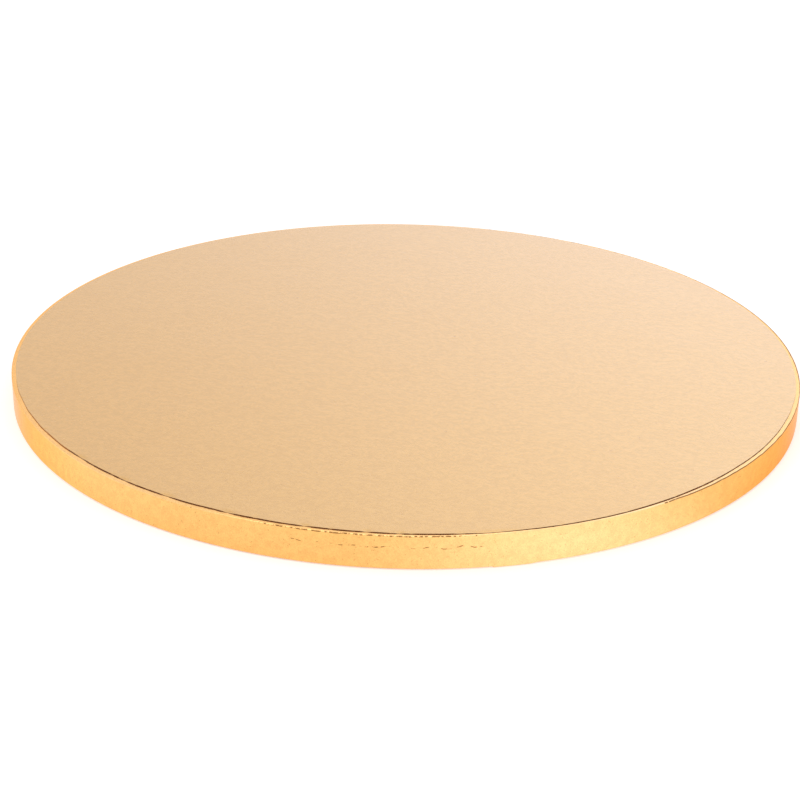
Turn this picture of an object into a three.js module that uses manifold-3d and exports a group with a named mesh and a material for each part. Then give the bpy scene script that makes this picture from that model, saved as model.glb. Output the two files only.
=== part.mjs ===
// A round cake board of the kind called a drum: a disc of board, half an inch thick, wrapped in gold foil paper.
//
// It comes apart on a bench into four pieces, which are glued together in this order:
//   core_board  the stiff disc, its rim pressed down a little where the band is turned in over it
//   edge_band   a strip of foil paper round the side, turned in over both faces, its two ends lapped
//   top_sheet   a disc of thicker foil paper that hides the upper turn-in and stops just short of the rim
//   base_sheet  a disc of plain paper that hides the lower turn-in, and the face that the board stands on
//
// Millimetres, +Z up. The origin is the centre of the face that the board stands on.
import * as THREE from "three";
import { mergeVertices } from "three/addons/utils/BufferGeometryUtils.js";
import Module from "manifold-3d";

// Driving sizes
const boardDiameter = 304.8; // 12 inches, across the band
const boardThickness = 12.7; // half an inch, over both sheets
const bandThickness = 0.25;
const topSheetThickness = 0.35;
const baseSheetThickness = 0.25;
const rimRadius = 0.5; // outside radius of the band where it rolls over each rim
const turnInWidth = 14; // how far the band reaches in over each face, from the side
const topSheetInset = 1.7; // strip of band left bare round the top sheet
const baseSheetInset = 5; // strip of band left bare round the base sheet
const lapLength = 12; // how far the outer end of the band lies over the inner one
const lapRamp = 3; // length in which the band comes down off the inner end again
const lapBearing = 281; // degrees from +X round to the outer end's cut edge, a little right of the front (-Y)

// Smoothness of the faceted circles
const roundSegments = 120; // steps in a full turn
const rimSegments = 3; // steps in each rolled rim
const lapSegments = 6; // steps along the lap

// Levels and radii that follow from the sizes
const boardRadius = boardDiameter / 2;
const coreRadius = boardRadius - bandThickness;
const coreRimRadius = rimRadius - bandThickness;
const coreBottom = baseSheetThickness;
const coreTop = boardThickness - topSheetThickness;
const turnInRadius = boardRadius - turnInWidth;
const pressedBottom = coreBottom + bandThickness;
const pressedTop = coreTop - bandThickness;

const brightFoil = new THREE.MeshStandardMaterial({ color: 0xf7c877, metalness: 1, roughness: 0.32 });
const satinFoil = new THREE.MeshStandardMaterial({ color: 0xe9c795, metalness: 1, roughness: 0.42 });
const plainPaper = new THREE.MeshStandardMaterial({ color: 0xf3f0e8, metalness: 0, roughness: 0.85 });
const greyBoard = new THREE.MeshStandardMaterial({ color: 0xb49a78, metalness: 0, roughness: 0.9 });

// A profile of radii and heights, turned about +Z. It starts and ends on the axis, or closes on itself.
function turned(profile) {
  return new THREE.LatheGeometry(profile, roundSegments).rotateX(Math.PI / 2);
}

// Points of an arc about (centreRadius, centreHeight), from one angle to the other, in degrees.
function rimArc(centreRadius, centreHeight, arcRadius, fromAngle, toAngle) {
  return Array.from({ length: rimSegments + 1 }, (_, i) => {
    const angle = THREE.MathUtils.degToRad(fromAngle + ((toAngle - fromAngle) * i) / rimSegments);
    return new THREE.Vector2(
      centreRadius + arcRadius * Math.cos(angle),
      centreHeight + arcRadius * Math.sin(angle),
    );
  });
}

// The side of a disc with both rims rolled, from its lower face to its upper one.
function rolledSide(radius, bottom, top, rollRadius) {
  return [
    ...rimArc(radius - rollRadius, bottom + rollRadius, rollRadius, -90, 0),
    ...rimArc(radius - rollRadius, top - rollRadius, rollRadius, 0, 90),
  ];
}

// The core has its full height inside the turn-ins. Under them it is lower by the band's thickness.
function coreGeometry() {
  return turned([
    new THREE.Vector2(0, coreBottom),
    new THREE.Vector2(turnInRadius, coreBottom),
    new THREE.Vector2(turnInRadius, pressedBottom),
    ...rolledSide(coreRadius, pressedBottom, pressedTop, coreRimRadius),
    new THREE.Vector2(turnInRadius, pressedTop),
    new THREE.Vector2(turnInRadius, coreTop),
    new THREE.Vector2(0, coreTop),
  ]);
}

// The band's section is a C. Its outside goes up the side, and its inside comes back down against the core.
function bandGeometry() {
  const lowerEnd = new THREE.Vector2(turnInRadius, coreBottom);
  return turned([
    lowerEnd,
    ...rolledSide(boardRadius, coreBottom, coreTop, rimRadius),
    new THREE.Vector2(turnInRadius, coreTop),
    new THREE.Vector2(turnInRadius, pressedTop),
    ...rolledSide(coreRadius, pressedBottom, pressedTop, coreRimRadius).reverse(),
    new THREE.Vector2(turnInRadius, pressedBottom),
    lowerEnd.clone(),
  ]);
}

// Where the band's ends lap, the side is thicker by one more thickness: a cut edge, a flat and a ramp down.
function lapGeometry() {
  const rootRadius = boardRadius - bandThickness / 2; // within the band's own wall, so that the two join
  const lapRadius = boardRadius + bandThickness;
  const cutAngle = THREE.MathUtils.degToRad(lapBearing);
  const lapAngle = lapLength / boardRadius;
  const rampAngle = lapRamp / boardRadius;
  const height = coreTop - coreBottom - 2 * rimRadius;
  const pointAt = (radius, angle) => new THREE.Vector2(radius * Math.cos(angle), radius * Math.sin(angle));
  const stepsAt = (radius) =>
    Array.from({ length: lapSegments + 1 }, (_, i) => pointAt(radius, cutAngle + (lapAngle * i) / lapSegments));
  const outline = [
    ...stepsAt(lapRadius),
    pointAt(rootRadius, cutAngle + lapAngle + rampAngle),
    ...stepsAt(rootRadius).reverse(),
  ];
  const lap = new THREE.ExtrudeGeometry(new THREE.Shape(outline), { depth: height, bevelEnabled: false });
  return lap.translate(0, 0, coreBottom + rimRadius);
}

// A sheet glued flat, from one level to another.
function sheetGeometry(radius, bottom, top) {
  return turned([
    new THREE.Vector2(0, bottom),
    new THREE.Vector2(radius, bottom),
    new THREE.Vector2(radius, top),
    new THREE.Vector2(0, top),
  ]);
}

const wasm = await Module();
wasm.setup();

// A closed geometry as a manifold-3d solid, its shared vertices merged.
function solidOf(geometry) {
  const bare = geometry.clone();
  bare.deleteAttribute("normal");
  bare.deleteAttribute("uv");
  const merged = mergeVertices(bare);
  return new wasm.Manifold(
    new wasm.Mesh({
      numProp: 3,
      vertProperties: new Float32Array(merged.attributes.position.array),
      triVerts: new Uint32Array(merged.index.array),
    }),
  );
}

// Two closed geometries that overlap, joined into one.
function joined(first, second) {
  const mesh = solidOf(first).add(solidOf(second)).getMesh();
  const geometry = new THREE.BufferGeometry();
  geometry.setAttribute("position", new THREE.BufferAttribute(mesh.vertProperties, 3));
  geometry.setIndex(new THREE.BufferAttribute(mesh.triVerts, 1));
  return geometry;
}

function piece(name, geometry, material) {
  const mesh = new THREE.Mesh(geometry, material);
  mesh.name = name;
  return mesh;
}

const cakeBoard = new THREE.Group();
cakeBoard.add(
  piece("core_board", coreGeometry(), greyBoard),
  piece("edge_band", joined(bandGeometry(), lapGeometry()), brightFoil),
  piece("top_sheet", sheetGeometry(boardRadius - topSheetInset, coreTop, boardThickness), satinFoil),
  piece("base_sheet", sheetGeometry(boardRadius - baseSheetInset, 0, coreBottom), plainPaper),
);

export default cakeBoard;
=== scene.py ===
# %% [markdown]
# # A gold cake board
#
# A cake board of this kind, which bakers call a drum, is a thick disc of board dressed in gold foil paper. A
# strip of bright foil paper goes round the side and is turned in over both faces. A disc of satin foil paper
# hides the upper turn-in, and a disc of plain paper hides the lower one.
#
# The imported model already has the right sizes, as four smooth solids. This lesson dresses them: it makes the
# three papers again as fine surfaces, with the small faults of paper that was glued by hand, and gives each
# its finish.

import math

import bpy
import numpy as np
from mathutils import Matrix, Vector


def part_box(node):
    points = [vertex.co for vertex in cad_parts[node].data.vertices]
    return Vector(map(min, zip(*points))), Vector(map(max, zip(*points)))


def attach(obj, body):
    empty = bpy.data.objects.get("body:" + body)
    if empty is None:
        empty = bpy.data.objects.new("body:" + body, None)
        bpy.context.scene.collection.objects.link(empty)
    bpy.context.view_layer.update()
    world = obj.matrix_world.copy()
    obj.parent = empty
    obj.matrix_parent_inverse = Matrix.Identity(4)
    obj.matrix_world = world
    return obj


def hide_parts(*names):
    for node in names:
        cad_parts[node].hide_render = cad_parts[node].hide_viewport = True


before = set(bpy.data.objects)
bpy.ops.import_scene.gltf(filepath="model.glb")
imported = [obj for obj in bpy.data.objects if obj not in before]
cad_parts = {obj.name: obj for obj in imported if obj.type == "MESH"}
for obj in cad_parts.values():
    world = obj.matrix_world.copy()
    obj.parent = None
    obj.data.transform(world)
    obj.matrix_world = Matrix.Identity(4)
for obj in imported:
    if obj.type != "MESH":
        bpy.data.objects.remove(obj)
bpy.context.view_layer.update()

# %% [markdown]
# ## The camera
#
# The board is seen from above its front edge, through a lens that makes its ellipse the one in the view. Aim,
# distance, elevation and roll are what a camera needs, so these four are written down, and the camera's
# matrix is worked out from them. A longer lens from further off would flatten the ellipse, and a nearer one
# would swell it.

# %% Camera
MM = 0.001
IMAGE_PIXELS = 800
SENSOR_WIDTH = 36.0
FOCAL_PIXELS = 1739.0
CAMERA_AIM = Vector((-2.04, -22.11, 0.0)) * MM
CAMERA_DISTANCE = 670.7 * MM
CAMERA_ELEVATION = math.radians(24.46)
CAMERA_ROLL = math.radians(1.22)

forward = Vector((0.0, math.cos(CAMERA_ELEVATION), -math.sin(CAMERA_ELEVATION)))
level_right = Vector((1.0, 0.0, 0.0))
level_up = level_right.cross(forward)
camera_right = math.cos(CAMERA_ROLL) * level_right + math.sin(CAMERA_ROLL) * level_up
camera_up = math.cos(CAMERA_ROLL) * level_up - math.sin(CAMERA_ROLL) * level_right

camera_data = bpy.data.cameras.new("camera")
camera_data.sensor_width = SENSOR_WIDTH
camera_data.lens = FOCAL_PIXELS / IMAGE_PIXELS * SENSOR_WIDTH
camera = bpy.data.objects.new("camera", camera_data)
camera.matrix_world = Matrix.Translation(CAMERA_AIM - forward * CAMERA_DISTANCE) @ Matrix(
    (camera_right, camera_up, -forward)
).transposed().to_4x4()
bpy.context.scene.collection.objects.link(camera)
bpy.context.scene.camera = camera
bpy.context.scene.view_settings.view_transform = "Standard"
print("camera at", tuple(camera.location), "with a lens of", round(camera_data.lens, 2), "mm")

# %% [markdown]
# ## Sizes
#
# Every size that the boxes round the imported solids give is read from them, so the papers below can't drift
# away from the solids. Angles go round from the front, the side nearest the camera: 0 is the front and 90
# degrees is the right.

# %% Sizes from the frame
board_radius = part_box("edge_band")[1][0]
band_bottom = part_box("edge_band")[0][2]
band_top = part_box("edge_band")[1][2]
sheet_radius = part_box("top_sheet")[1][0]
sheet_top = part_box("top_sheet")[1][2]
base_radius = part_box("base_sheet")[1][0]
base_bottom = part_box("base_sheet")[0][2]
print("board radius", board_radius, "and band from", band_bottom, "to", band_top)
print("top sheet radius", sheet_radius, "and base sheet radius", base_radius)

ANGLE_STEPS = 1440
angles = np.arange(ANGLE_STEPS) * math.tau / ANGLE_STEPS

# %% [markdown]
# ## Unevenness
#
# Foil paper shows every swell of the board below it, so no face may be a perfect plane or cylinder. A sum of
# a few dozen cosines with random directions is smooth, cheap as one numpy expression, and has a known range
# of wavelengths. Round the board each cosine has a whole number of turns, so that the surface closes on
# itself.
#
# A group of waves is written down as its shortest and longest wavelength, the number of its waves and the
# seed of its random numbers.

# %% Random waves
WAVE_REACH = 2


def wave_lengths(random, shortest, longest, count):
    """Random wavelengths between two limits, as many long ones as short ones for each doubling."""
    return np.exp(random.uniform(math.log(shortest), math.log(longest), count))


def waves_round(angle, across, shortest, longest, count, seed):
    """Random waves on a strip round the board, mostly from -1 to 1.

    Each wave is the cosine of a whole number of turns times the angle, plus the place across the strip over a
    wavelength, plus a random phase. The sum is divided by the root of the number of waves.
    """
    random = np.random.default_rng(seed)
    wavelength = wave_lengths(random, shortest, longest, count)
    direction = random.uniform(0, math.tau, count)
    turns = np.round(board_radius * math.tau * np.cos(direction) / wavelength)
    rate_across = math.tau * np.sin(direction) / wavelength
    phase = random.uniform(0, math.tau, count)
    angle, across = np.broadcast_arrays(angle, across)
    waves = np.cos(angle[..., None] * turns + across[..., None] * rate_across + phase)
    return waves.sum(axis=-1) / math.sqrt(count)


def waves_along(angle, shortest, longest, count, seed):
    """Random waves that change only round the board.

    Each wave is the cosine of a whole number of turns times the angle, plus a random phase.
    """
    random = np.random.default_rng(seed)
    turns = np.round(board_radius * math.tau / wave_lengths(random, shortest, longest, count))
    phase = random.uniform(0, math.tau, count)
    return np.cos(np.asarray(angle)[..., None] * turns + phase).sum(axis=-1) / math.sqrt(count)


def waves_flat(x, y, shortest, longest, count, seed):
    """Random waves on a flat face.

    Each wave is the cosine of the distance along a random direction over a wavelength, plus a random phase.
    """
    random = np.random.default_rng(seed)
    rate = math.tau / wave_lengths(random, shortest, longest, count)
    direction = random.uniform(0, math.tau, count)
    phase = random.uniform(0, math.tau, count)
    rate_x = rate * np.cos(direction)
    rate_y = rate * np.sin(direction)
    waves = np.cos(x[..., None] * rate_x + y[..., None] * rate_y + phase)
    return waves.sum(axis=-1) / math.sqrt(count)


def sunk(waves):
    """Waves that sink and hardly ever rise: the waves less their reach, over their reach."""
    return (waves - WAVE_REACH) / WAVE_REACH


# %% Soft steps, bumps and bearings
def soft_step(value, start, end):
    """0 before start and 1 after end, with 3t squared minus 2t cubed between them."""
    t = np.clip((value - start) / (end - start), 0, 1)
    return t * t * (3 - 2 * t)


def between(value, start, end, soft):
    """1 from start to end, falling softly to 0 over the width soft outside them."""
    return soft_step(value, start - soft, start) * (1 - soft_step(value, end, end + soft))


def bump(value, centre, width):
    """A bell: e to the minus of the squared distance from the centre over the width."""
    return np.exp(-(((value - centre) / width) ** 2))


def either_side(angle):
    """The same angle from -180 to 180 degrees: half a turn more, modulo a turn, and half a turn less."""
    return (angle + math.pi) % math.tau - math.pi


# %% [markdown]
# ## Making a surface
#
# All three papers are rings of points: a section is carried round the board's axis and changed a little at
# each angle. The rings are one array of rings by angles by 3. Neighbouring points are joined by four-sided
# faces, going first along the section and then round, which turns every face outwards. A band's section
# closes on itself. A sheet's section runs from the middle of its upper face to the middle of its lower one,
# so it gets a point at each end and a fan of triangles to it.

# %% Rings to a closed mesh
def ring_points(radius, angle, height):
    """Points at a radius, an angle from the front and a height: x is radius sine, y minus radius cosine."""
    radius, angle, height = np.broadcast_arrays(radius, angle, height)
    return np.stack([radius * np.sin(angle), -radius * np.cos(angle), height], axis=-1)


def skin(name, rings, closed_section, material):
    """A closed mesh through rings of points, with its middle points and fans if its section isn't closed.

    The point at a ring and an angle has the number ring times the number of angles, plus angle. A face joins
    it to the next ring, to the next angle there, and back.
    """
    ring_count, point_count = rings.shape[:2]
    ring = np.arange(ring_count if closed_section else ring_count - 1)[:, None]
    point = np.arange(point_count)[None, :]
    next_ring = (ring + 1) % ring_count
    next_point = (point + 1) % point_count
    corners = [
        ring * point_count + point,
        next_ring * point_count + point,
        next_ring * point_count + next_point,
        ring * point_count + next_point,
    ]
    faces = np.stack([np.broadcast_to(c, corners[2].shape) for c in corners], axis=-1)
    faces = faces.reshape(-1, 4).tolist()
    points = rings.reshape(-1, 3)
    if not closed_section:
        upper_middle = len(points)
        lower_middle = upper_middle + 1
        around = point[0]
        after = next_point[0]
        last = (ring_count - 1) * point_count
        upper_fan = np.stack([np.full(point_count, upper_middle), around, after], axis=-1)
        lower_fan = np.stack([last + around, np.full(point_count, lower_middle), last + after], axis=-1)
        faces += upper_fan.tolist() + lower_fan.tolist()
        points = np.vstack([points, rings[0].mean(axis=0), rings[-1].mean(axis=0)])
    mesh = bpy.data.meshes.new(name)
    mesh.from_pydata(points, [], faces)
    mesh.materials.append(material)
    mesh.shade_smooth()
    piece = bpy.data.objects.new(name, mesh)
    bpy.context.scene.collection.objects.link(piece)
    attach(piece, "root")
    print(name, "has", len(points), "points and", len(faces), "faces")
    return piece


def set_attribute(piece, name, values):
    """A number on each point of a piece, which its material reads by name. Points past the values get 0."""
    attribute = piece.data.attributes.new(name, "FLOAT", "POINT")
    padded = np.zeros(len(piece.data.vertices), dtype=np.float32)
    padded[: values.size] = values.ravel()
    attribute.data.foreach_set("value", padded)


# %% [markdown]
# ## Node helper
#
# A procedural material is a tree of nodes. One function adds a node, sets its own settings, and fills its
# sockets with a number, a colour or an earlier node, so that each material below reads from top to bottom.
# The node that mixes has sockets of the same name for numbers, vectors and colours, so the ones for colours
# are called by their numbers.

# %% Nodes and colours
MIX_SHARE = 0
MIX_FIRST = 6
MIX_SECOND = 7
MIX_COLOUR = 2


def linear(hex_colour):
    """An sRGB hex colour as linear red, green, blue and 1.

    A value c is c over 12.92 in the dark, and ((c + 0.055) / 1.055) to the power 2.4 above it.
    """
    values = [int(hex_colour[i : i + 2], 16) / 255 for i in (1, 3, 5)]
    return [c / 12.92 if c <= 0.04045 else ((c + 0.055) / 1.055) ** 2.4 for c in values] + [1.0]


def add_node(tree, kind, inputs=None, **settings):
    """Adds a node. settings are its own properties.

    inputs maps a socket, by its name or number, to a value, to the output that feeds it, or to the node whose
    first output does.
    """
    node = tree.nodes.new(kind)
    for name, value in settings.items():
        setattr(node, name, value)
    for socket, value in (inputs or {}).items():
        if isinstance(value, bpy.types.Node):
            value = value.outputs[0]
        if isinstance(value, bpy.types.NodeSocket):
            tree.links.new(value, node.inputs[socket])
        else:
            node.inputs[socket].default_value = value
    return node


def new_material(name):
    """An empty material and its tree of nodes."""
    material = bpy.data.materials.new(name)
    material.use_nodes = True
    material.node_tree.nodes.clear()
    return material, material.node_tree


# %% [markdown]
# ## Crease lines
#
# Real: where foil paper was creased hard, its lacquer has cracked and gone brown. Along the rim behind, the
# same dark line is painted shade of the gap by the top sheet's edge. A crease is thinner than the mesh is
# fine, and cutting the mesh as fine as that all round would make it many times bigger. So each point of the
# mesh holds its distance from the line, and the shader draws the line in between.

# %% Crease line
CREASE_SOFTNESS = 0.12


def crease_and_shade_line(tree, place, name, dash, waver):
    """A broken dark line: a bell of the distance from it, where the share of the line times a noise is high.

    The distance and the share are numbers on the points, and a share above 1 closes the breaks. dash is the
    size of the breaks and how much of the line is missing. waver is the size and the reach of a noise that
    pushes the line to and fro.
    """
    dash_size, missing = dash
    waver_size, waver_reach = waver
    waver_noise = add_node(
        tree, "ShaderNodeTexNoise", {"Vector": place, "Scale": 1 / waver_size, "Detail": 1.0}
    )
    push = {0: waver_noise, 1: 2 * waver_reach, 2: -waver_reach}
    pushed = add_node(tree, "ShaderNodeMath", push, operation="MULTIPLY_ADD")
    from_line = add_node(tree, "ShaderNodeAttribute", attribute_name=name + " distance").outputs["Fac"]
    moved = add_node(tree, "ShaderNodeMath", {0: from_line, 1: pushed}, operation="ADD")
    distance = add_node(tree, "ShaderNodeMath", {0: moved}, operation="ABSOLUTE")
    bell = add_node(
        tree,
        "ShaderNodeMapRange",
        {"Value": distance, "From Min": 0.0, "From Max": 1.0, "To Min": 1.0, "To Max": 0.0},
        interpolation_type="SMOOTHSTEP",
    )
    dash_noise = add_node(
        tree, "ShaderNodeTexNoise", {"Vector": place, "Scale": 1 / dash_size, "Detail": 2.0}
    )
    share = add_node(tree, "ShaderNodeAttribute", attribute_name=name + " share").outputs["Fac"]
    strength = add_node(tree, "ShaderNodeMath", {0: dash_noise, 1: share}, operation="MULTIPLY")
    whole = add_node(
        tree,
        "ShaderNodeMapRange",
        {"Value": strength, "From Min": missing, "From Max": missing + CREASE_SOFTNESS},
        interpolation_type="SMOOTHSTEP",
    )
    return add_node(tree, "ShaderNodeMath", {0: bell, 1: whole}, operation="MULTIPLY")


# %% [markdown]
# ## Foil paper
#
# Real: paper with a film of aluminium on it under a clear yellow lacquer, which makes it look like gold. It
# is a metal to the eye, so metallic is 1 and the colour is the colour of its reflections. Smooth foil would
# be a mirror, but this one has the paper's tooth under it, which gives it some roughness and a fine orange
# peel. The outside of the lacquer is a clear coat over it. It is rougher than the film, so it adds a wide
# white sheen at a glance. Over the rim's roll and lip the colour is paled towards cream: a painted highlight.

# %% Foil paper
WORN_ROUGHNESS = 0.6
# The cream that the lip and the upper roll are paled towards: a painted highlight.
PAINTED_HIGHLIGHT_COLOUR = "#ffe0b0"
PAINTED_HIGHLIGHT_SHARE = 0.35
CLOUD_START = 0.75
CLOUD_END = 1.25
FLECK_SOFTNESS = 0.08
STREAK_OVER_PEEL = 1.5


def foil_paper(
    name, colour, worn_and_shade_colour, edge_colour, roughness, lacquer, peel, streak, cloudiness, lines, flecks
):
    """Gold foil on paper: a rough metal under clear lacquer, clouded, with brown crease lines and flecks.

    edge_colour is what a glancing reflection is multiplied by. lacquer is the weight, index and roughness of
    the coat. peel is the size and depth of the orange peel, streak the length, width and bearing of the
    blotches, and cloudiness how far both go towards the worn colour. A number on each point says how far the
    colour is paled towards cream there: a painted highlight. lines are the arguments of the function that
    draws a crease line, which along the rim behind is painted shade. flecks is the size, the noise level above
    which a fleck shows, and its share.
    """
    lacquer_weight, lacquer_index, lacquer_roughness = lacquer
    peel_size, peel_depth = peel
    streak_length, streak_width, streak_bearing = streak
    fleck_size, fleck_level, fleck_share = flecks
    material, tree = new_material(name)
    place = add_node(tree, "ShaderNodeTexCoord").outputs["Object"]
    along_paper = add_node(
        tree,
        "ShaderNodeMapping",
        {
            "Vector": place,
            "Rotation": (0.0, 0.0, streak_bearing),
            "Scale": (streak_length, streak_width, streak_width),
        },
        vector_type="TEXTURE",
    )
    peel_noise = add_node(
        tree, "ShaderNodeTexNoise", {"Vector": place, "Scale": 1 / peel_size, "Detail": 2.0}
    )
    streak_noise = add_node(
        tree, "ShaderNodeTexNoise", {"Vector": along_paper, "Scale": 1.0, "Detail": 4.0}
    )
    fleck_noise = add_node(
        tree, "ShaderNodeTexNoise", {"Vector": place, "Scale": 1 / fleck_size, "Detail": 1.0}
    )

    both_noises = add_node(tree, "ShaderNodeMath", {0: peel_noise, 1: streak_noise}, operation="ADD")
    cloud_limits = {"From Min": CLOUD_START, "From Max": CLOUD_END, "To Min": cloudiness, "To Max": 0.0}
    cloud = add_node(
        tree, "ShaderNodeMapRange", {"Value": both_noises, **cloud_limits}, interpolation_type="SMOOTHSTEP"
    )
    fleck_limits = {"From Min": fleck_level, "From Max": fleck_level + FLECK_SOFTNESS, "To Max": fleck_share}
    wear_and_shade = add_node(
        tree, "ShaderNodeMapRange", {"Value": fleck_noise, **fleck_limits}, interpolation_type="SMOOTHSTEP"
    )
    for line in lines:
        crease = crease_and_shade_line(tree, place, *line)
        wear_and_shade = add_node(tree, "ShaderNodeMath", {0: wear_and_shade, 1: crease}, operation="MAXIMUM")
    painted_rim_highlight = add_node(tree, "ShaderNodeAttribute", attribute_name="painted_rim_highlight").outputs["Fac"]
    # Paling towards cream where the number on the points says so: a painted highlight.
    painted_highlight = add_node(tree, "ShaderNodeMath", {0: painted_rim_highlight, 1: PAINTED_HIGHLIGHT_SHARE}, operation="MULTIPLY")

    colour_now = linear(colour)
    for share, towards in ((cloud, worn_and_shade_colour), (painted_highlight, PAINTED_HIGHLIGHT_COLOUR), (wear_and_shade, worn_and_shade_colour)):
        mixed = {MIX_SHARE: share, MIX_FIRST: colour_now, MIX_SECOND: linear(towards)}
        colour_now = add_node(tree, "ShaderNodeMix", mixed, data_type="RGBA").outputs[MIX_COLOUR]
    duller = add_node(
        tree,
        "ShaderNodeMapRange",
        {"Value": wear_and_shade, "To Min": roughness, "To Max": WORN_ROUGHNESS},
        interpolation_type="SMOOTHSTEP",
    )
    streaked = add_node(
        tree, "ShaderNodeBump", {"Height": streak_noise, "Distance": STREAK_OVER_PEEL * peel_depth}
    )
    peeled = add_node(
        tree, "ShaderNodeBump", {"Height": peel_noise, "Distance": peel_depth, "Normal": streaked}
    )
    surface = add_node(
        tree,
        "ShaderNodeBsdfPrincipled",
        {
            "Base Color": colour_now,
            "Metallic": 1.0,
            "Roughness": duller,
            "Specular Tint": linear(edge_colour),
            "Coat Weight": lacquer_weight,
            "Coat IOR": lacquer_index,
            "Coat Roughness": lacquer_roughness,
            "Normal": peeled,
            "Coat Normal": peeled,
        },
    )
    add_node(tree, "ShaderNodeOutputMaterial", {"Surface": surface})
    return material


# %% [markdown]
# The strip round the side is bright: its film is smooth, and its lacquer is a deep yellow, deepest where the
# eye meets it at a glance. It has two crease lines, one round the upper rim and one where two plies of the
# board meet. The one round the rim is painted shade where it runs along the lip behind.

# %% Bright foil
bright_foil = foil_paper(
    "bright gold foil paper",
    colour="#ffc474",
    worn_and_shade_colour="#7c4a08",
    edge_colour="#ffcc95",
    roughness=0.26,
    lacquer=(0.3, 1.5, 0.4),
    peel=(0.5 * MM, 0.015 * MM),
    streak=(2.5 * MM, 2.5 * MM, 0.0),
    cloudiness=0.16,
    # The rim line is cracked lacquer in front and painted shade of the gap along the lip behind.
    lines=[("rim", (1.2 * MM, 0.44), (3.0 * MM, 0.4)), ("ply", (2.0 * MM, 0.38), (4.0 * MM, 3.0))],
    flecks=(0.6 * MM, 0.66, 0.3),
)
print("made", bright_foil.name)

# %% [markdown]
# The disc on the top is satin: a heavier paper under a full, rough lacquer, so it has a soft white sheen at a
# glance. The pulp of the board shows through it as blotches of a few millimetres, a little longer the way the
# paper ran through its mill.

# %% Satin foil
satin_foil = foil_paper(
    "satin gold foil paper",
    colour="#ddaa5e",
    worn_and_shade_colour="#8c6232",
    edge_colour="#ffffff",
    roughness=0.26,
    lacquer=(1.0, 1.5, 0.5),
    peel=(1.0 * MM, 0.02 * MM),
    streak=(3.0 * MM, 1.9 * MM, math.radians(-20)),
    cloudiness=0.12,
    lines=[],
    flecks=(1.1 * MM, 0.72, 0.2),
)
print("made", satin_foil.name)

# %% [markdown]
# ## Cut edge, plain paper and grey board
#
# The sheet's cut edge is painted dark brown: painted shade of the narrow gap between its edge and the band.
# From 120 to 310 degrees round it is painted orange instead: painted reflection of the gold foil in that gap.
# The base is matte white wrapping paper, and the board inside is grey pulp board. None of them is a metal, so
# each has a diffuse colour, a high roughness, and fibres as a fine noise in colour and height.

# %% Fibrous materials
FIBRE_SIZE = 0.8 * MM
FIBRE_DEPTH = 0.02 * MM


def fibrous(name, colour, fleck_colour, roughness):
    """A dull fibrous material: two colours mixed by a fine noise, and the same noise as its height."""
    material, tree = new_material(name)
    place = add_node(tree, "ShaderNodeTexCoord").outputs["Object"]
    fibre = add_node(tree, "ShaderNodeTexNoise", {"Vector": place, "Scale": 1 / FIBRE_SIZE, "Detail": 4.0})
    mixed = {MIX_SHARE: fibre, MIX_FIRST: linear(colour), MIX_SECOND: linear(fleck_colour)}
    flecked = add_node(tree, "ShaderNodeMix", mixed, data_type="RGBA").outputs[MIX_COLOUR]
    raised = add_node(tree, "ShaderNodeBump", {"Height": fibre, "Distance": FIBRE_DEPTH})
    surface = add_node(
        tree, "ShaderNodeBsdfPrincipled", {"Base Color": flecked, "Roughness": roughness, "Normal": raised}
    )
    add_node(tree, "ShaderNodeOutputMaterial", {"Surface": surface})
    return material


# Dark brown on the sheet's cut edge: painted shade of the gap under it.
cut_edge_painted_shade = fibrous("cut edge painted with gap shade", "#744418", "#4a280c", 0.8)
# Orange on the cut edge from 120 to 310 degrees: painted reflection of the gold foil in that gap.
cut_edge_painted_reflection = fibrous("cut edge painted with gap reflection", "#b87a34", "#8a5520", 0.7)
plain_paper = fibrous("plain white paper", "#f4f2ec", "#e6e2d8", 0.85)
grey_board = fibrous("grey pulp board", "#b49a78", "#8f7a5e", 0.9)
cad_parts["core_board"].material_slots[0].material = grey_board
print("made", cut_edge_painted_shade.name, cut_edge_painted_reflection.name, plain_paper.name, grey_board.name)

# %% [markdown]
# ## The section of the edge band
#
# Real: one strip of foil paper, a quarter of a millimetre thick, glued round the side, rolled over both rims
# and turned in. Cut through, it is a C. A line of points that goes round that C once, outside and back
# inside, is carried round the board. The points lie closest where the eye sees most: on the upper rim and the
# bare lip. The paper's thickness, the rim's radius and the width of the turn-in are the solid's, but its box
# doesn't give them, so they are written again here.

# %% Section of the edge band
PAPER = 0.25 * MM
RIM_RADIUS = 0.5 * MM
TURN_IN = 14.0 * MM
LIP_START = 3.4 * MM


def arc(centre_radius, centre_height, radius, start, end, steps):
    """Radius and height along an arc: the centre plus the radius times cosine and sine of even angles."""
    turn = np.radians(np.linspace(start, end, steps))
    return np.stack([centre_radius + radius * np.cos(turn), centre_height + radius * np.sin(turn)], axis=-1)


def straight(start, end, steps):
    """Evenly spaced radius and height from one point to another, without the last one."""
    share = np.linspace(0, 1, steps, endpoint=False)[:, None]
    return np.array(start) * (1 - share) + np.array(end) * share


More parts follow.
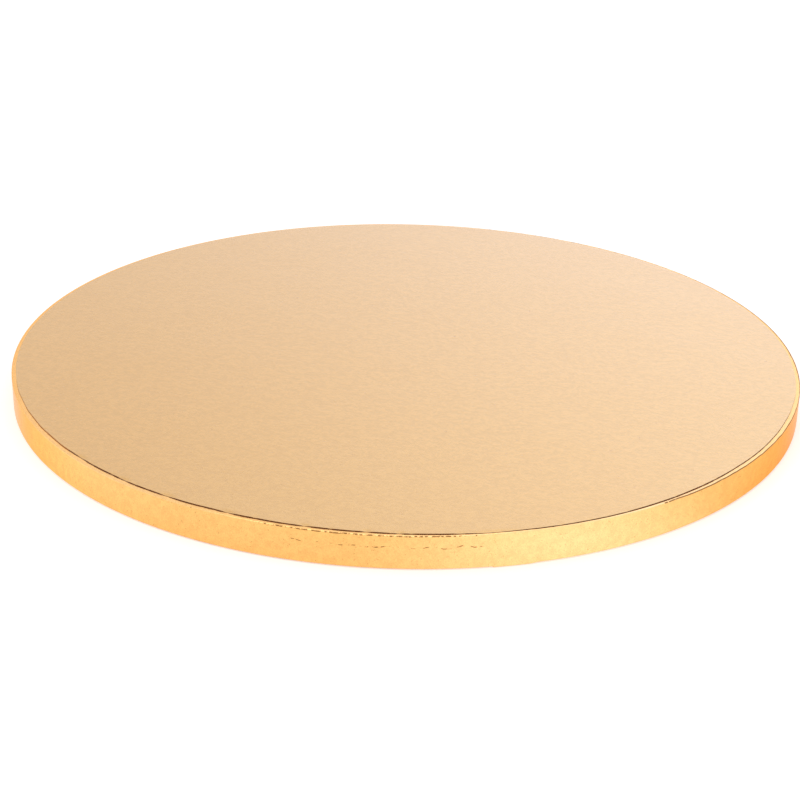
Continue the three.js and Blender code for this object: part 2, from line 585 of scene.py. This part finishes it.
inner_radius = board_radius - TURN_IN
roll_radius = board_radius - RIM_RADIUS
lip_radius = board_radius - LIP_START
upper_roll = band_top - RIM_RADIUS
lower_roll = band_bottom + RIM_RADIUS
outside = np.vstack([
    straight((inner_radius, band_top), (lip_radius, band_top), steps=4),
    straight((lip_radius, band_top), (roll_radius, band_top), steps=9),
    arc(roll_radius, upper_roll, RIM_RADIUS, 90, 0, steps=10),
    straight((board_radius, upper_roll), (board_radius, lower_roll), steps=20)[1:],
    arc(roll_radius, lower_roll, RIM_RADIUS, 0, -90, steps=7),
    straight((roll_radius, band_bottom), (base_radius - RIM_RADIUS, band_bottom), steps=6)[1:],
    straight((base_radius - RIM_RADIUS, band_bottom), (inner_radius, band_bottom), steps=3),
    [(inner_radius, band_bottom)],
])
inside = np.vstack([
    [(inner_radius, band_bottom + PAPER)],
    arc(roll_radius, lower_roll, RIM_RADIUS - PAPER, -90, 0, steps=3),
    arc(roll_radius, upper_roll, RIM_RADIUS - PAPER, 0, 90, steps=3),
    [(inner_radius, band_top - PAPER)],
])
along = np.gradient(outside, axis=0)
along /= np.linalg.norm(along, axis=1, keepdims=True)
outward = np.stack([-along[:, 1], along[:, 0]], axis=-1)
print("the band's section has", len(outside), "points outside and", len(inside), "inside")

# %% [markdown]
# ## The faults of the edge band
#
# Each fault is a height above the smooth section, as a function of the angle and of the place on the section.
# They are added up, and the points are moved along the section's outward direction by the sum. The swell and
# the creases sink. The pleats rise by less than the top sheet's thickness, and only the lap stands proud of
# the side.
#
# Real: the glue is brushed on and the strip is rubbed down, so the side sinks a little with the board's
# plies.

# %% Swell of the side
SWELL = 0.05 * MM
SWELL_WAVES = (9 * MM, 70 * MM, 40, 11)

angle = angles[None, :]
radius = outside[:, :1]
height = outside[:, 1:]
on_side = between(height, lower_roll, upper_roll, RIM_RADIUS / 2) * (radius > roll_radius)
swell = SWELL * sunk(waves_round(angle, height, *SWELL_WAVES)) * on_side
print("the side sinks by up to", -swell.min() / MM, "mm")

# %% [markdown]
# Real: a wandering crease runs round the side where two plies of the board meet, and shows best in front.
# Another runs along the rim where the foil starts to roll, as cracked lacquer, and it is whole round the right
# side. Past there it climbs onto the lip and breaks up again, and from there round the back it is painted
# shade of the gap by the top sheet's edge. Each point gets its distance from both lines, over the width of the
# line, and the share of the line that is there. The rim's crease is pressed in as well.
#
# The lip and the upper roll are paled towards cream: a painted highlight. In front it hardly shows.

# %% Creases of the side
PLY_LINE_HEIGHT = 8.1 * MM
PLY_LINE_WANDER = 0.6 * MM
PLY_LINE_WAVES = (9 * MM, 40 * MM, 12, 12)
PLY_LINE_WIDTH = 0.26 * MM
PLY_SHARE = 0.08
PLY_SHARE_ADDED = 0.72
PLY_LINE_FRONT = np.radians((-13, 9, 3))
RIM_CREASE_ON_ROLL = 0.52 * MM
RIM_SHADE_LINE_CLIMB = np.radians((70, 95))
RIM_CREASE_WANDER = 0.05 * MM
RIM_CREASE_WAVES = (5 * MM, 30 * MM, 20, 13)
RIM_CREASE_WIDTH = 0.42 * MM
RIM_CREASE_DEPTH = 0.03 * MM
RIM_SHARE = 0.7
RIM_SHARE_ADDED = 0.35
RIM_SHARE_RIGHT = 1.7
# In front the rim line is cracked lacquer. Where it climbs onto the lip and behind, it is painted shade of the
# gap.
RIM_CREASE_FRONT = np.radians((-15, 6, 4))
RIM_CREASE_AND_SHADE_RIGHT = np.radians((37, 122, 6))
RIM_PAINTED_SHADE_BACK = np.radians((110, 165, 8))
PAINTED_HIGHLIGHT_END = (0.45 * MM, 0.85 * MM)
PAINTED_HIGHLIGHT_IN_FRONT = 0.3
PAINTED_HIGHLIGHT_GROWS = np.radians((15, 40))

around = either_side(angle)
ply_line = PLY_LINE_HEIGHT + PLY_LINE_WANDER * waves_along(angle, *PLY_LINE_WAVES)
ply_distance = (height - ply_line) / PLY_LINE_WIDTH
ply_share = (PLY_SHARE + PLY_SHARE_ADDED * between(around, *PLY_LINE_FRONT)) * on_side

section_steps = np.linalg.norm(np.diff(outside, axis=0), axis=1)
section_place = np.concatenate([[0.0], np.cumsum(section_steps)])[:, None]
section_place = section_place - section_place[np.argmax(outside[:, 0] >= roll_radius)]
# Past 95 degrees the rim line lies on the lip next to the sheet's edge, as painted shade of the gap.
rim_crease_and_shade_line = RIM_CREASE_ON_ROLL * (1 - soft_step(around, *RIM_SHADE_LINE_CLIMB))
rim_crease_and_shade_line = rim_crease_and_shade_line + RIM_CREASE_WANDER * waves_along(angle, *RIM_CREASE_WAVES)
rim_crease_and_shade_distance = (section_place - rim_crease_and_shade_line) / RIM_CREASE_WIDTH
rim_crease_and_shade_share = RIM_SHARE + RIM_SHARE_ADDED * between(around, *RIM_CREASE_FRONT)
rim_crease_and_shade_share = np.maximum(rim_crease_and_shade_share, RIM_SHARE_RIGHT * between(around, *RIM_CREASE_AND_SHADE_RIGHT))
rim_crease_and_shade_share = np.maximum(rim_crease_and_shade_share, between(around, *RIM_PAINTED_SHADE_BACK))
rim_dent = RIM_CREASE_DEPTH * np.minimum(rim_crease_and_shade_share, 1) * bump(rim_crease_and_shade_distance, 0, 1)

# How strongly the lip and the upper roll are paled, weaker in front: a painted highlight.
painted_rim_highlight_share = PAINTED_HIGHLIGHT_IN_FRONT + (1 - PAINTED_HIGHLIGHT_IN_FRONT) * soft_step(np.abs(around), *PAINTED_HIGHLIGHT_GROWS)
painted_rim_highlight = painted_rim_highlight_share * (1 - soft_step(section_place, *PAINTED_HIGHLIGHT_END))
print("the crease along the rim is pressed in by up to", rim_dent.max() / MM, "mm")

# %% [markdown]
# Real: turned in over a circle, the strip is too long for the smaller radius, so its margins gather in fine
# pleats. The strip's two ends overlap a little right of the front: the outer one has a cut edge, and past the
# inner one it comes down again in a ramp. The place and length of this lap are the solid's too.

# %% Pleats and lap
PLEAT_HEIGHT = 0.10 * MM
PLEAT_WAVES = (1.8 * MM, 5 * MM, 40, 15)
PLEAT_CREST = 1.5
LAP_ANGLE = math.radians(11)
LAP_LENGTH = 12.0 * MM
LAP_RAMP = 3.0 * MM
LAP_CUT_TURN = 0.001

pleats = np.clip(waves_along(angle, *PLEAT_WAVES), 0, PLEAT_CREST) / PLEAT_CREST
margin = soft_step(board_radius - radius, RIM_RADIUS, LIP_START)
pleating = PLEAT_HEIGHT * pleats * margin * (radius < roll_radius)

past_cut = angle - LAP_ANGLE
lap_turn = LAP_LENGTH / board_radius
ramp_turn = LAP_RAMP / board_radius
on_lap = soft_step(past_cut, -LAP_CUT_TURN, 0) * (1 - soft_step(past_cut, lap_turn, lap_turn + ramp_turn))
lap = PAPER * on_lap * (radius > roll_radius) * soft_step(radius, roll_radius, roll_radius + RIM_RADIUS / 2)

lift = swell - rim_dent + pleating + lap
print("the band's faults reach from", lift.min() / MM, "to", lift.max() / MM, "mm")

# %% [markdown]
# With the faults known, the band is one closed surface. The numbers for the crease lines and for the painted
# highlight on the rim belong to the outside alone, which comes first, so the points of the inside get 0.

# %% Edge band
outside_rings = ring_points(radius + lift * outward[:, :1], angle, height + lift * outward[:, 1:])
inside_rings = ring_points(inside[:, :1], angle, inside[:, 1:])
band_rings = np.concatenate([outside_rings, inside_rings])
edge_band = skin("edge_band_foil", band_rings, True, bright_foil)
set_attribute(edge_band, "ply distance", ply_distance)
set_attribute(edge_band, "ply share", ply_share)
set_attribute(edge_band, "rim distance", rim_crease_and_shade_distance)
set_attribute(edge_band, "rim share", rim_crease_and_shade_share + np.zeros_like(height))
set_attribute(edge_band, "painted_rim_highlight", painted_rim_highlight)
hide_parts("edge_band")

# %% [markdown]
# ## The top sheet
#
# Real: a disc die-cut from heavier foil paper and laid on by hand. It isn't quite in the middle, and its edge
# comes closest to the rim a little right of the front. Its cut edge stands a little above the band and throws
# the thin dark line that runs inside the rim, and the edge's dark colour adds painted shade to that line.
# Where a pleat or the lap lies under it, or where it was pressed hard, the edge is down and the line breaks.
# These places have a bearing and a half width in degrees.

# %% Edge of the top sheet
EDGE_WOBBLE = 0.07 * MM
EDGE_WAVES = (14 * MM, 70 * MM, 30, 21)
EDGE_BULGE = 1.25 * MM
EDGE_BULGE_ANGLE = math.radians(20)
EDGE_BULGE_WIDTH = math.radians(21)
PRESSED_PLACES = [
    (-47, 0.8), (-38, 0.7), (-31, 0.9), (-22, 0.8), (-12, 0.6), (-4.5, 0.5), (-0.5, 0.5), (10.5, 2.6)
]
PRESSED_WAVES = (3 * MM, 14 * MM, 30, 22)
PRESSED_LEVEL = 0.5
PRESSED_SHARE = 0.5

bearings = either_side(angles)
edge_radius = (
    sheet_radius
    + EDGE_WOBBLE * waves_along(angles, *EDGE_WAVES)
    + EDGE_BULGE * bump(bearings, EDGE_BULGE_ANGLE, EDGE_BULGE_WIDTH)
)
pressed = PRESSED_SHARE * np.clip(waves_along(angles, *PRESSED_WAVES) - PRESSED_LEVEL, 0, 1)
for bearing, half_width in PRESSED_PLACES:
    pressed += bump(bearings, math.radians(bearing), math.radians(half_width))
pressed = np.clip(pressed, 0, 1)
print("the edge runs from", edge_radius.min() / MM, "to", edge_radius.max() / MM, "mm from the axis")

# %% [markdown]
# The paper is glued flat but swells with the board. Where its edge hangs over the rim's roll, it follows the
# roll part of the way down. The rings lie closest together at the edge, as shares of the radius there.
# From 120 to 310 degrees round, the cut edge is painted orange and not dark: painted reflection of the gold
# foil in the gap.

# %% Top sheet
SHEET = 0.33 * MM
TOP_SWELL = 0.045 * MM
TOP_WAVES = (26 * MM, 120 * MM, 30, 23)
PRESS_DEPTH = 0.2 * MM
PRESS_WIDTH = 0.9 * MM
ROLL_FOLLOWED = 0.7
ROLL_LIMIT = 0.98 * RIM_RADIUS
RESTING_SHARE = 0.99
# The range round the board where the cut edge is painted orange, as a painted reflection.
PAINTED_REFLECTION_START = math.radians(120)
PAINTED_REFLECTION_END = math.radians(310)

upper_shares = np.concatenate([
    np.linspace(0.04, 0.90, 24),
    np.linspace(0.92, 0.985, 7),
    (0.989, 0.9925, 0.995, 0.997, 0.9985, 0.9995, 1.0),
])[:, None]
upper_radius = upper_shares * edge_radius
x = upper_radius * np.sin(angles)
y = -upper_radius * np.cos(angles)
from_edge = edge_radius - upper_radius
past_roll = np.clip(upper_radius - roll_radius, 0, ROLL_LIMIT)
roll_depth = RIM_RADIUS - np.sqrt(RIM_RADIUS**2 - past_roll**2)
upper_height = (
    sheet_top
    + TOP_SWELL * sunk(waves_flat(x, y, *TOP_WAVES))
    - PRESS_DEPTH * pressed * bump(from_edge, 0, PRESS_WIDTH)
    - ROLL_FOLLOWED * roll_depth
)
lower_shares = np.array([1.0, 0.995, 0.98, 0.9, 0.6, 0.3, 0.05])[:, None]
lower_height = np.where(lower_shares > RESTING_SHARE, upper_height[-1] - SHEET, band_top)

upper_rings = ring_points(upper_radius, angles, upper_height)
lower_rings = ring_points(lower_shares * edge_radius, angles, lower_height)
top_rings = np.concatenate([upper_rings, lower_rings])
top_sheet = skin("top_sheet_foil", top_rings, False, satin_foil)
# The cut edge gets painted gap shade, and from 120 to 310 degrees a painted reflection of the gold.
top_sheet.data.materials.append(cut_edge_painted_shade)
top_sheet.data.materials.append(cut_edge_painted_reflection)
ring_of_face = np.arange(len(top_sheet.data.polygons)) // ANGLE_STEPS
angle_of_face = np.tile(angles, len(ring_of_face) // ANGLE_STEPS)
on_edge = ring_of_face == len(upper_shares) - 1
painted_reflection_faces = (angle_of_face > PAINTED_REFLECTION_START) & (angle_of_face < PAINTED_REFLECTION_END)
material_numbers = np.where(on_edge, 1 + painted_reflection_faces, 0).astype(np.int32)
top_sheet.data.polygons.foreach_set("material_index", material_numbers)
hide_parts("top_sheet")

# %% [markdown]
# ## The base sheet
#
# Real: a disc of plain white paper, smaller than the top one, glued over the pleats of the lower turn-in. It
# lies flat because the board stands on it, and its edge is cut as roughly.

# %% Base sheet
BASE_TRIMMED = 0.3 * MM
BASE_WOBBLE = 0.18 * MM
BASE_WAVES = (30 * MM, 300 * MM, 20, 31)

base_edge = base_radius - BASE_TRIMMED + BASE_WOBBLE * waves_along(angles, *BASE_WAVES)
base_shares = np.array([0.04, 0.3, 0.6, 0.9, 0.98, 0.995, 1.0])[:, None]
base_upper = ring_points(base_shares * base_edge, angles, band_bottom)
base_lower = ring_points(base_shares[::-1] * base_edge, angles, base_bottom)
base_rings = np.concatenate([base_upper, base_lower])
base_sheet = skin("base_sheet_paper", base_rings, False, plain_paper)
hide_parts("base_sheet")

# %% [markdown]
# ## The room
#
# The board stands in a white studio. The world is white for the camera and a little weaker as a light,
# because one big soft lamp overhead adds the rest. Together they light a surface at about the level of its
# own colour. Foil shows what it reflects, so the room has what a photographer's has: a big cool window on the
# right, which only reflections see.

# %% World
WORLD_LIGHT = 0.85
WINDOW_COLOUR = "#a1c2ff"
WINDOW_LIGHT = 1.0
WINDOW_SOFTNESS = 0.3

world = bpy.data.worlds.new("white studio")
world.use_nodes = True
world_tree = world.node_tree
world_tree.nodes.clear()
world_path = add_node(world_tree, "ShaderNodeLightPath").outputs
reflected = add_node(
    world_tree,
    "ShaderNodeMath",
    {0: world_path["Is Glossy Ray"], 1: world_path["Is Transmission Ray"]},
    operation="MAXIMUM",
)
visible = add_node(
    world_tree, "ShaderNodeMath", {0: world_path["Is Camera Ray"], 1: reflected}, operation="MAXIMUM"
)
room_strength = add_node(
    world_tree,
    "ShaderNodeMapRange",
    {"Value": visible, "To Min": WORLD_LIGHT, "To Max": 1.0},
    interpolation_type="SMOOTHSTEP",
)
room = add_node(world_tree, "ShaderNodeBackground", {"Color": linear("#ffffff"), "Strength": room_strength})

towards = add_node(world_tree, "ShaderNodeTexCoord").outputs["Generated"]
to_the_right = add_node(world_tree, "ShaderNodeSeparateXYZ", {"Vector": towards})
window_limits = {"From Min": -WINDOW_SOFTNESS, "From Max": WINDOW_SOFTNESS, "To Max": WINDOW_LIGHT}
window_side = add_node(
    world_tree,
    "ShaderNodeMapRange",
    {"Value": to_the_right, **window_limits},
    interpolation_type="SMOOTHSTEP",
)
window_strength = add_node(world_tree, "ShaderNodeMath", {0: window_side, 1: reflected}, operation="MULTIPLY")
window_light = {"Color": linear(WINDOW_COLOUR), "Strength": window_strength}
window = add_node(world_tree, "ShaderNodeBackground", window_light)
both = add_node(world_tree, "ShaderNodeAddShader", {0: room, 1: window})
add_node(world_tree, "ShaderNodeOutputWorld", {"Surface": both})
bpy.context.scene.world = world
print("world gives", WORLD_LIGHT, "of the light on a surface")

# %% [markdown]
# The floor is white, and a real surface, so it keeps the board's shadow. Its glow makes it white where it is
# seen or reflected, and adds no other light. Two pale patches of window light lie on it, each with a place, a
# reach and a strength, and only reflections see them. From below the floor lets the view through, and under
# the board it is open, so that the base sheet is lit when it is looked at from below.

# %% Floor
FLOOR_SIZE = 60.0
FLOOR_COLOUR = "#e7e7e7"
FLOOR_GLOW = 0.37
FLOOR_OPENING = board_radius - 4 * MM
FLOOR_OPENING_RIM = 1 * MM
FLOOR_DROP = 0.1 * MM
PATCH_COLOUR = "#90b8ff"
PATCHES = [(62 * MM, -150 * MM, 90 * MM, 1.0), (-150 * MM, -70 * MM, 110 * MM, 0.5)]

floor_material, floor_tree = new_material("white floor")
floor_path = add_node(floor_tree, "ShaderNodeLightPath").outputs
seen = add_node(
    floor_tree,
    "ShaderNodeMath",
    {0: floor_path["Is Camera Ray"], 1: floor_path["Is Transmission Ray"]},
    operation="MAXIMUM",
)
shown = add_node(
    floor_tree, "ShaderNodeMath", {0: seen, 1: floor_path["Is Glossy Ray"]}, operation="MAXIMUM"
)
glow_strength = add_node(floor_tree, "ShaderNodeMath", {0: shown, 1: FLOOR_GLOW}, operation="MULTIPLY")

floor_geometry = add_node(floor_tree, "ShaderNodeNewGeometry").outputs
patch = 0.0
for patch_x, patch_y, reach, strength in PATCHES:
    from_patch = add_node(
        floor_tree,
        "ShaderNodeVectorMath",
        {0: floor_geometry["Position"], 1: (patch_x, patch_y, -FLOOR_DROP)},
        operation="DISTANCE",
    ).outputs["Value"]
    one_patch = add_node(
        floor_tree,
        "ShaderNodeMapRange",
        {"Value": from_patch, "From Max": reach, "To Min": strength, "To Max": 0.0},
        interpolation_type="SMOOTHSTEP",
    )
    patch = add_node(floor_tree, "ShaderNodeMath", {0: patch, 1: one_patch}, operation="ADD")
patch_strength = add_node(
    floor_tree, "ShaderNodeMath", {0: patch, 1: floor_path["Is Glossy Ray"]}, operation="MULTIPLY"
)

from_middle = add_node(
    floor_tree,
    "ShaderNodeVectorMath",
    {0: floor_geometry["Position"], 1: (0.0, 0.0, -FLOOR_DROP)},
    operation="DISTANCE",
).outputs["Value"]
opening_limits = {"From Min": FLOOR_OPENING, "From Max": FLOOR_OPENING + FLOOR_OPENING_RIM}
under_board = add_node(
    floor_tree,
    "ShaderNodeMapRange",
    {"Value": from_middle, **opening_limits, "To Min": 1.0, "To Max": 0.0},
    interpolation_type="SMOOTHSTEP",
)
floor_open = add_node(
    floor_tree, "ShaderNodeMath", {0: floor_geometry["Backfacing"], 1: under_board}, operation="MAXIMUM"
)

matte = add_node(floor_tree, "ShaderNodeBsdfDiffuse", {"Color": linear(FLOOR_COLOUR)})
glow = add_node(floor_tree, "ShaderNodeEmission", {"Strength": glow_strength})
patch_light = {"Color": linear(PATCH_COLOUR), "Strength": patch_strength}
patch_glow = add_node(floor_tree, "ShaderNodeEmission", patch_light)
glows = add_node(floor_tree, "ShaderNodeAddShader", {0: glow, 1: patch_glow})
lit = add_node(floor_tree, "ShaderNodeAddShader", {0: matte, 1: glows})
clear = add_node(floor_tree, "ShaderNodeBsdfTransparent")
floor_surface = add_node(floor_tree, "ShaderNodeMixShader", {0: floor_open, 1: lit, 2: clear})
add_node(floor_tree, "ShaderNodeOutputMaterial", {"Surface": floor_surface})

half = FLOOR_SIZE / 2
floor_corners = [(x, y, -FLOOR_DROP) for x, y in ((-half, -half), (half, -half), (half, half), (-half, half))]
floor_mesh = bpy.data.meshes.new("floor")
floor_mesh.from_pydata(floor_corners, [], [(0, 1, 2, 3)])
floor_mesh.materials.append(floor_material)
floor = bpy.data.objects.new("floor", floor_mesh)
bpy.context.scene.collection.objects.link(floor)
print("the floor is open for", round(FLOOR_OPENING / MM, 1), "mm from the axis")

# %% [markdown]
# The lamp is a soft box above the board, big and near, so that its shadow has no edge. A small or distant
# lamp would draw a hard highlight on the foil, which a studio avoids.

# %% Lamp
def soft_lamp(name, azimuth, elevation, distance, width, height, light):
    """A soft box that faces the board, placed by its direction from it. Azimuth 0 is the front, 90 the right.

    light is its radiance times the solid angle it fills, seen from the board. White facing it reflects
    light / pi. Its power is that light times pi times the distance squared.
    """
    turn = math.radians(azimuth)
    rise = math.radians(elevation)
    away = Vector((math.sin(turn) * math.cos(rise), -math.cos(turn) * math.cos(rise), math.sin(rise)))
    lamp_data = bpy.data.lights.new(name, "AREA")
    lamp_data.shape = "RECTANGLE"
    lamp_data.size = width
    lamp_data.size_y = height
    lamp_data.energy = light * math.pi * distance**2
    lamp = bpy.data.objects.new(name, lamp_data)
    lamp.location = away * distance
    lamp.rotation_euler = away.to_track_quat("Z", "Y").to_euler()
    bpy.context.scene.collection.objects.link(lamp)
    print(name, "lights the floor at", round(light * math.sin(rise) / math.pi, 2), "of white")


soft_lamp("overhead soft box", azimuth=-30, elevation=60, distance=2.0, width=1.6, height=1.6, light=0.6)
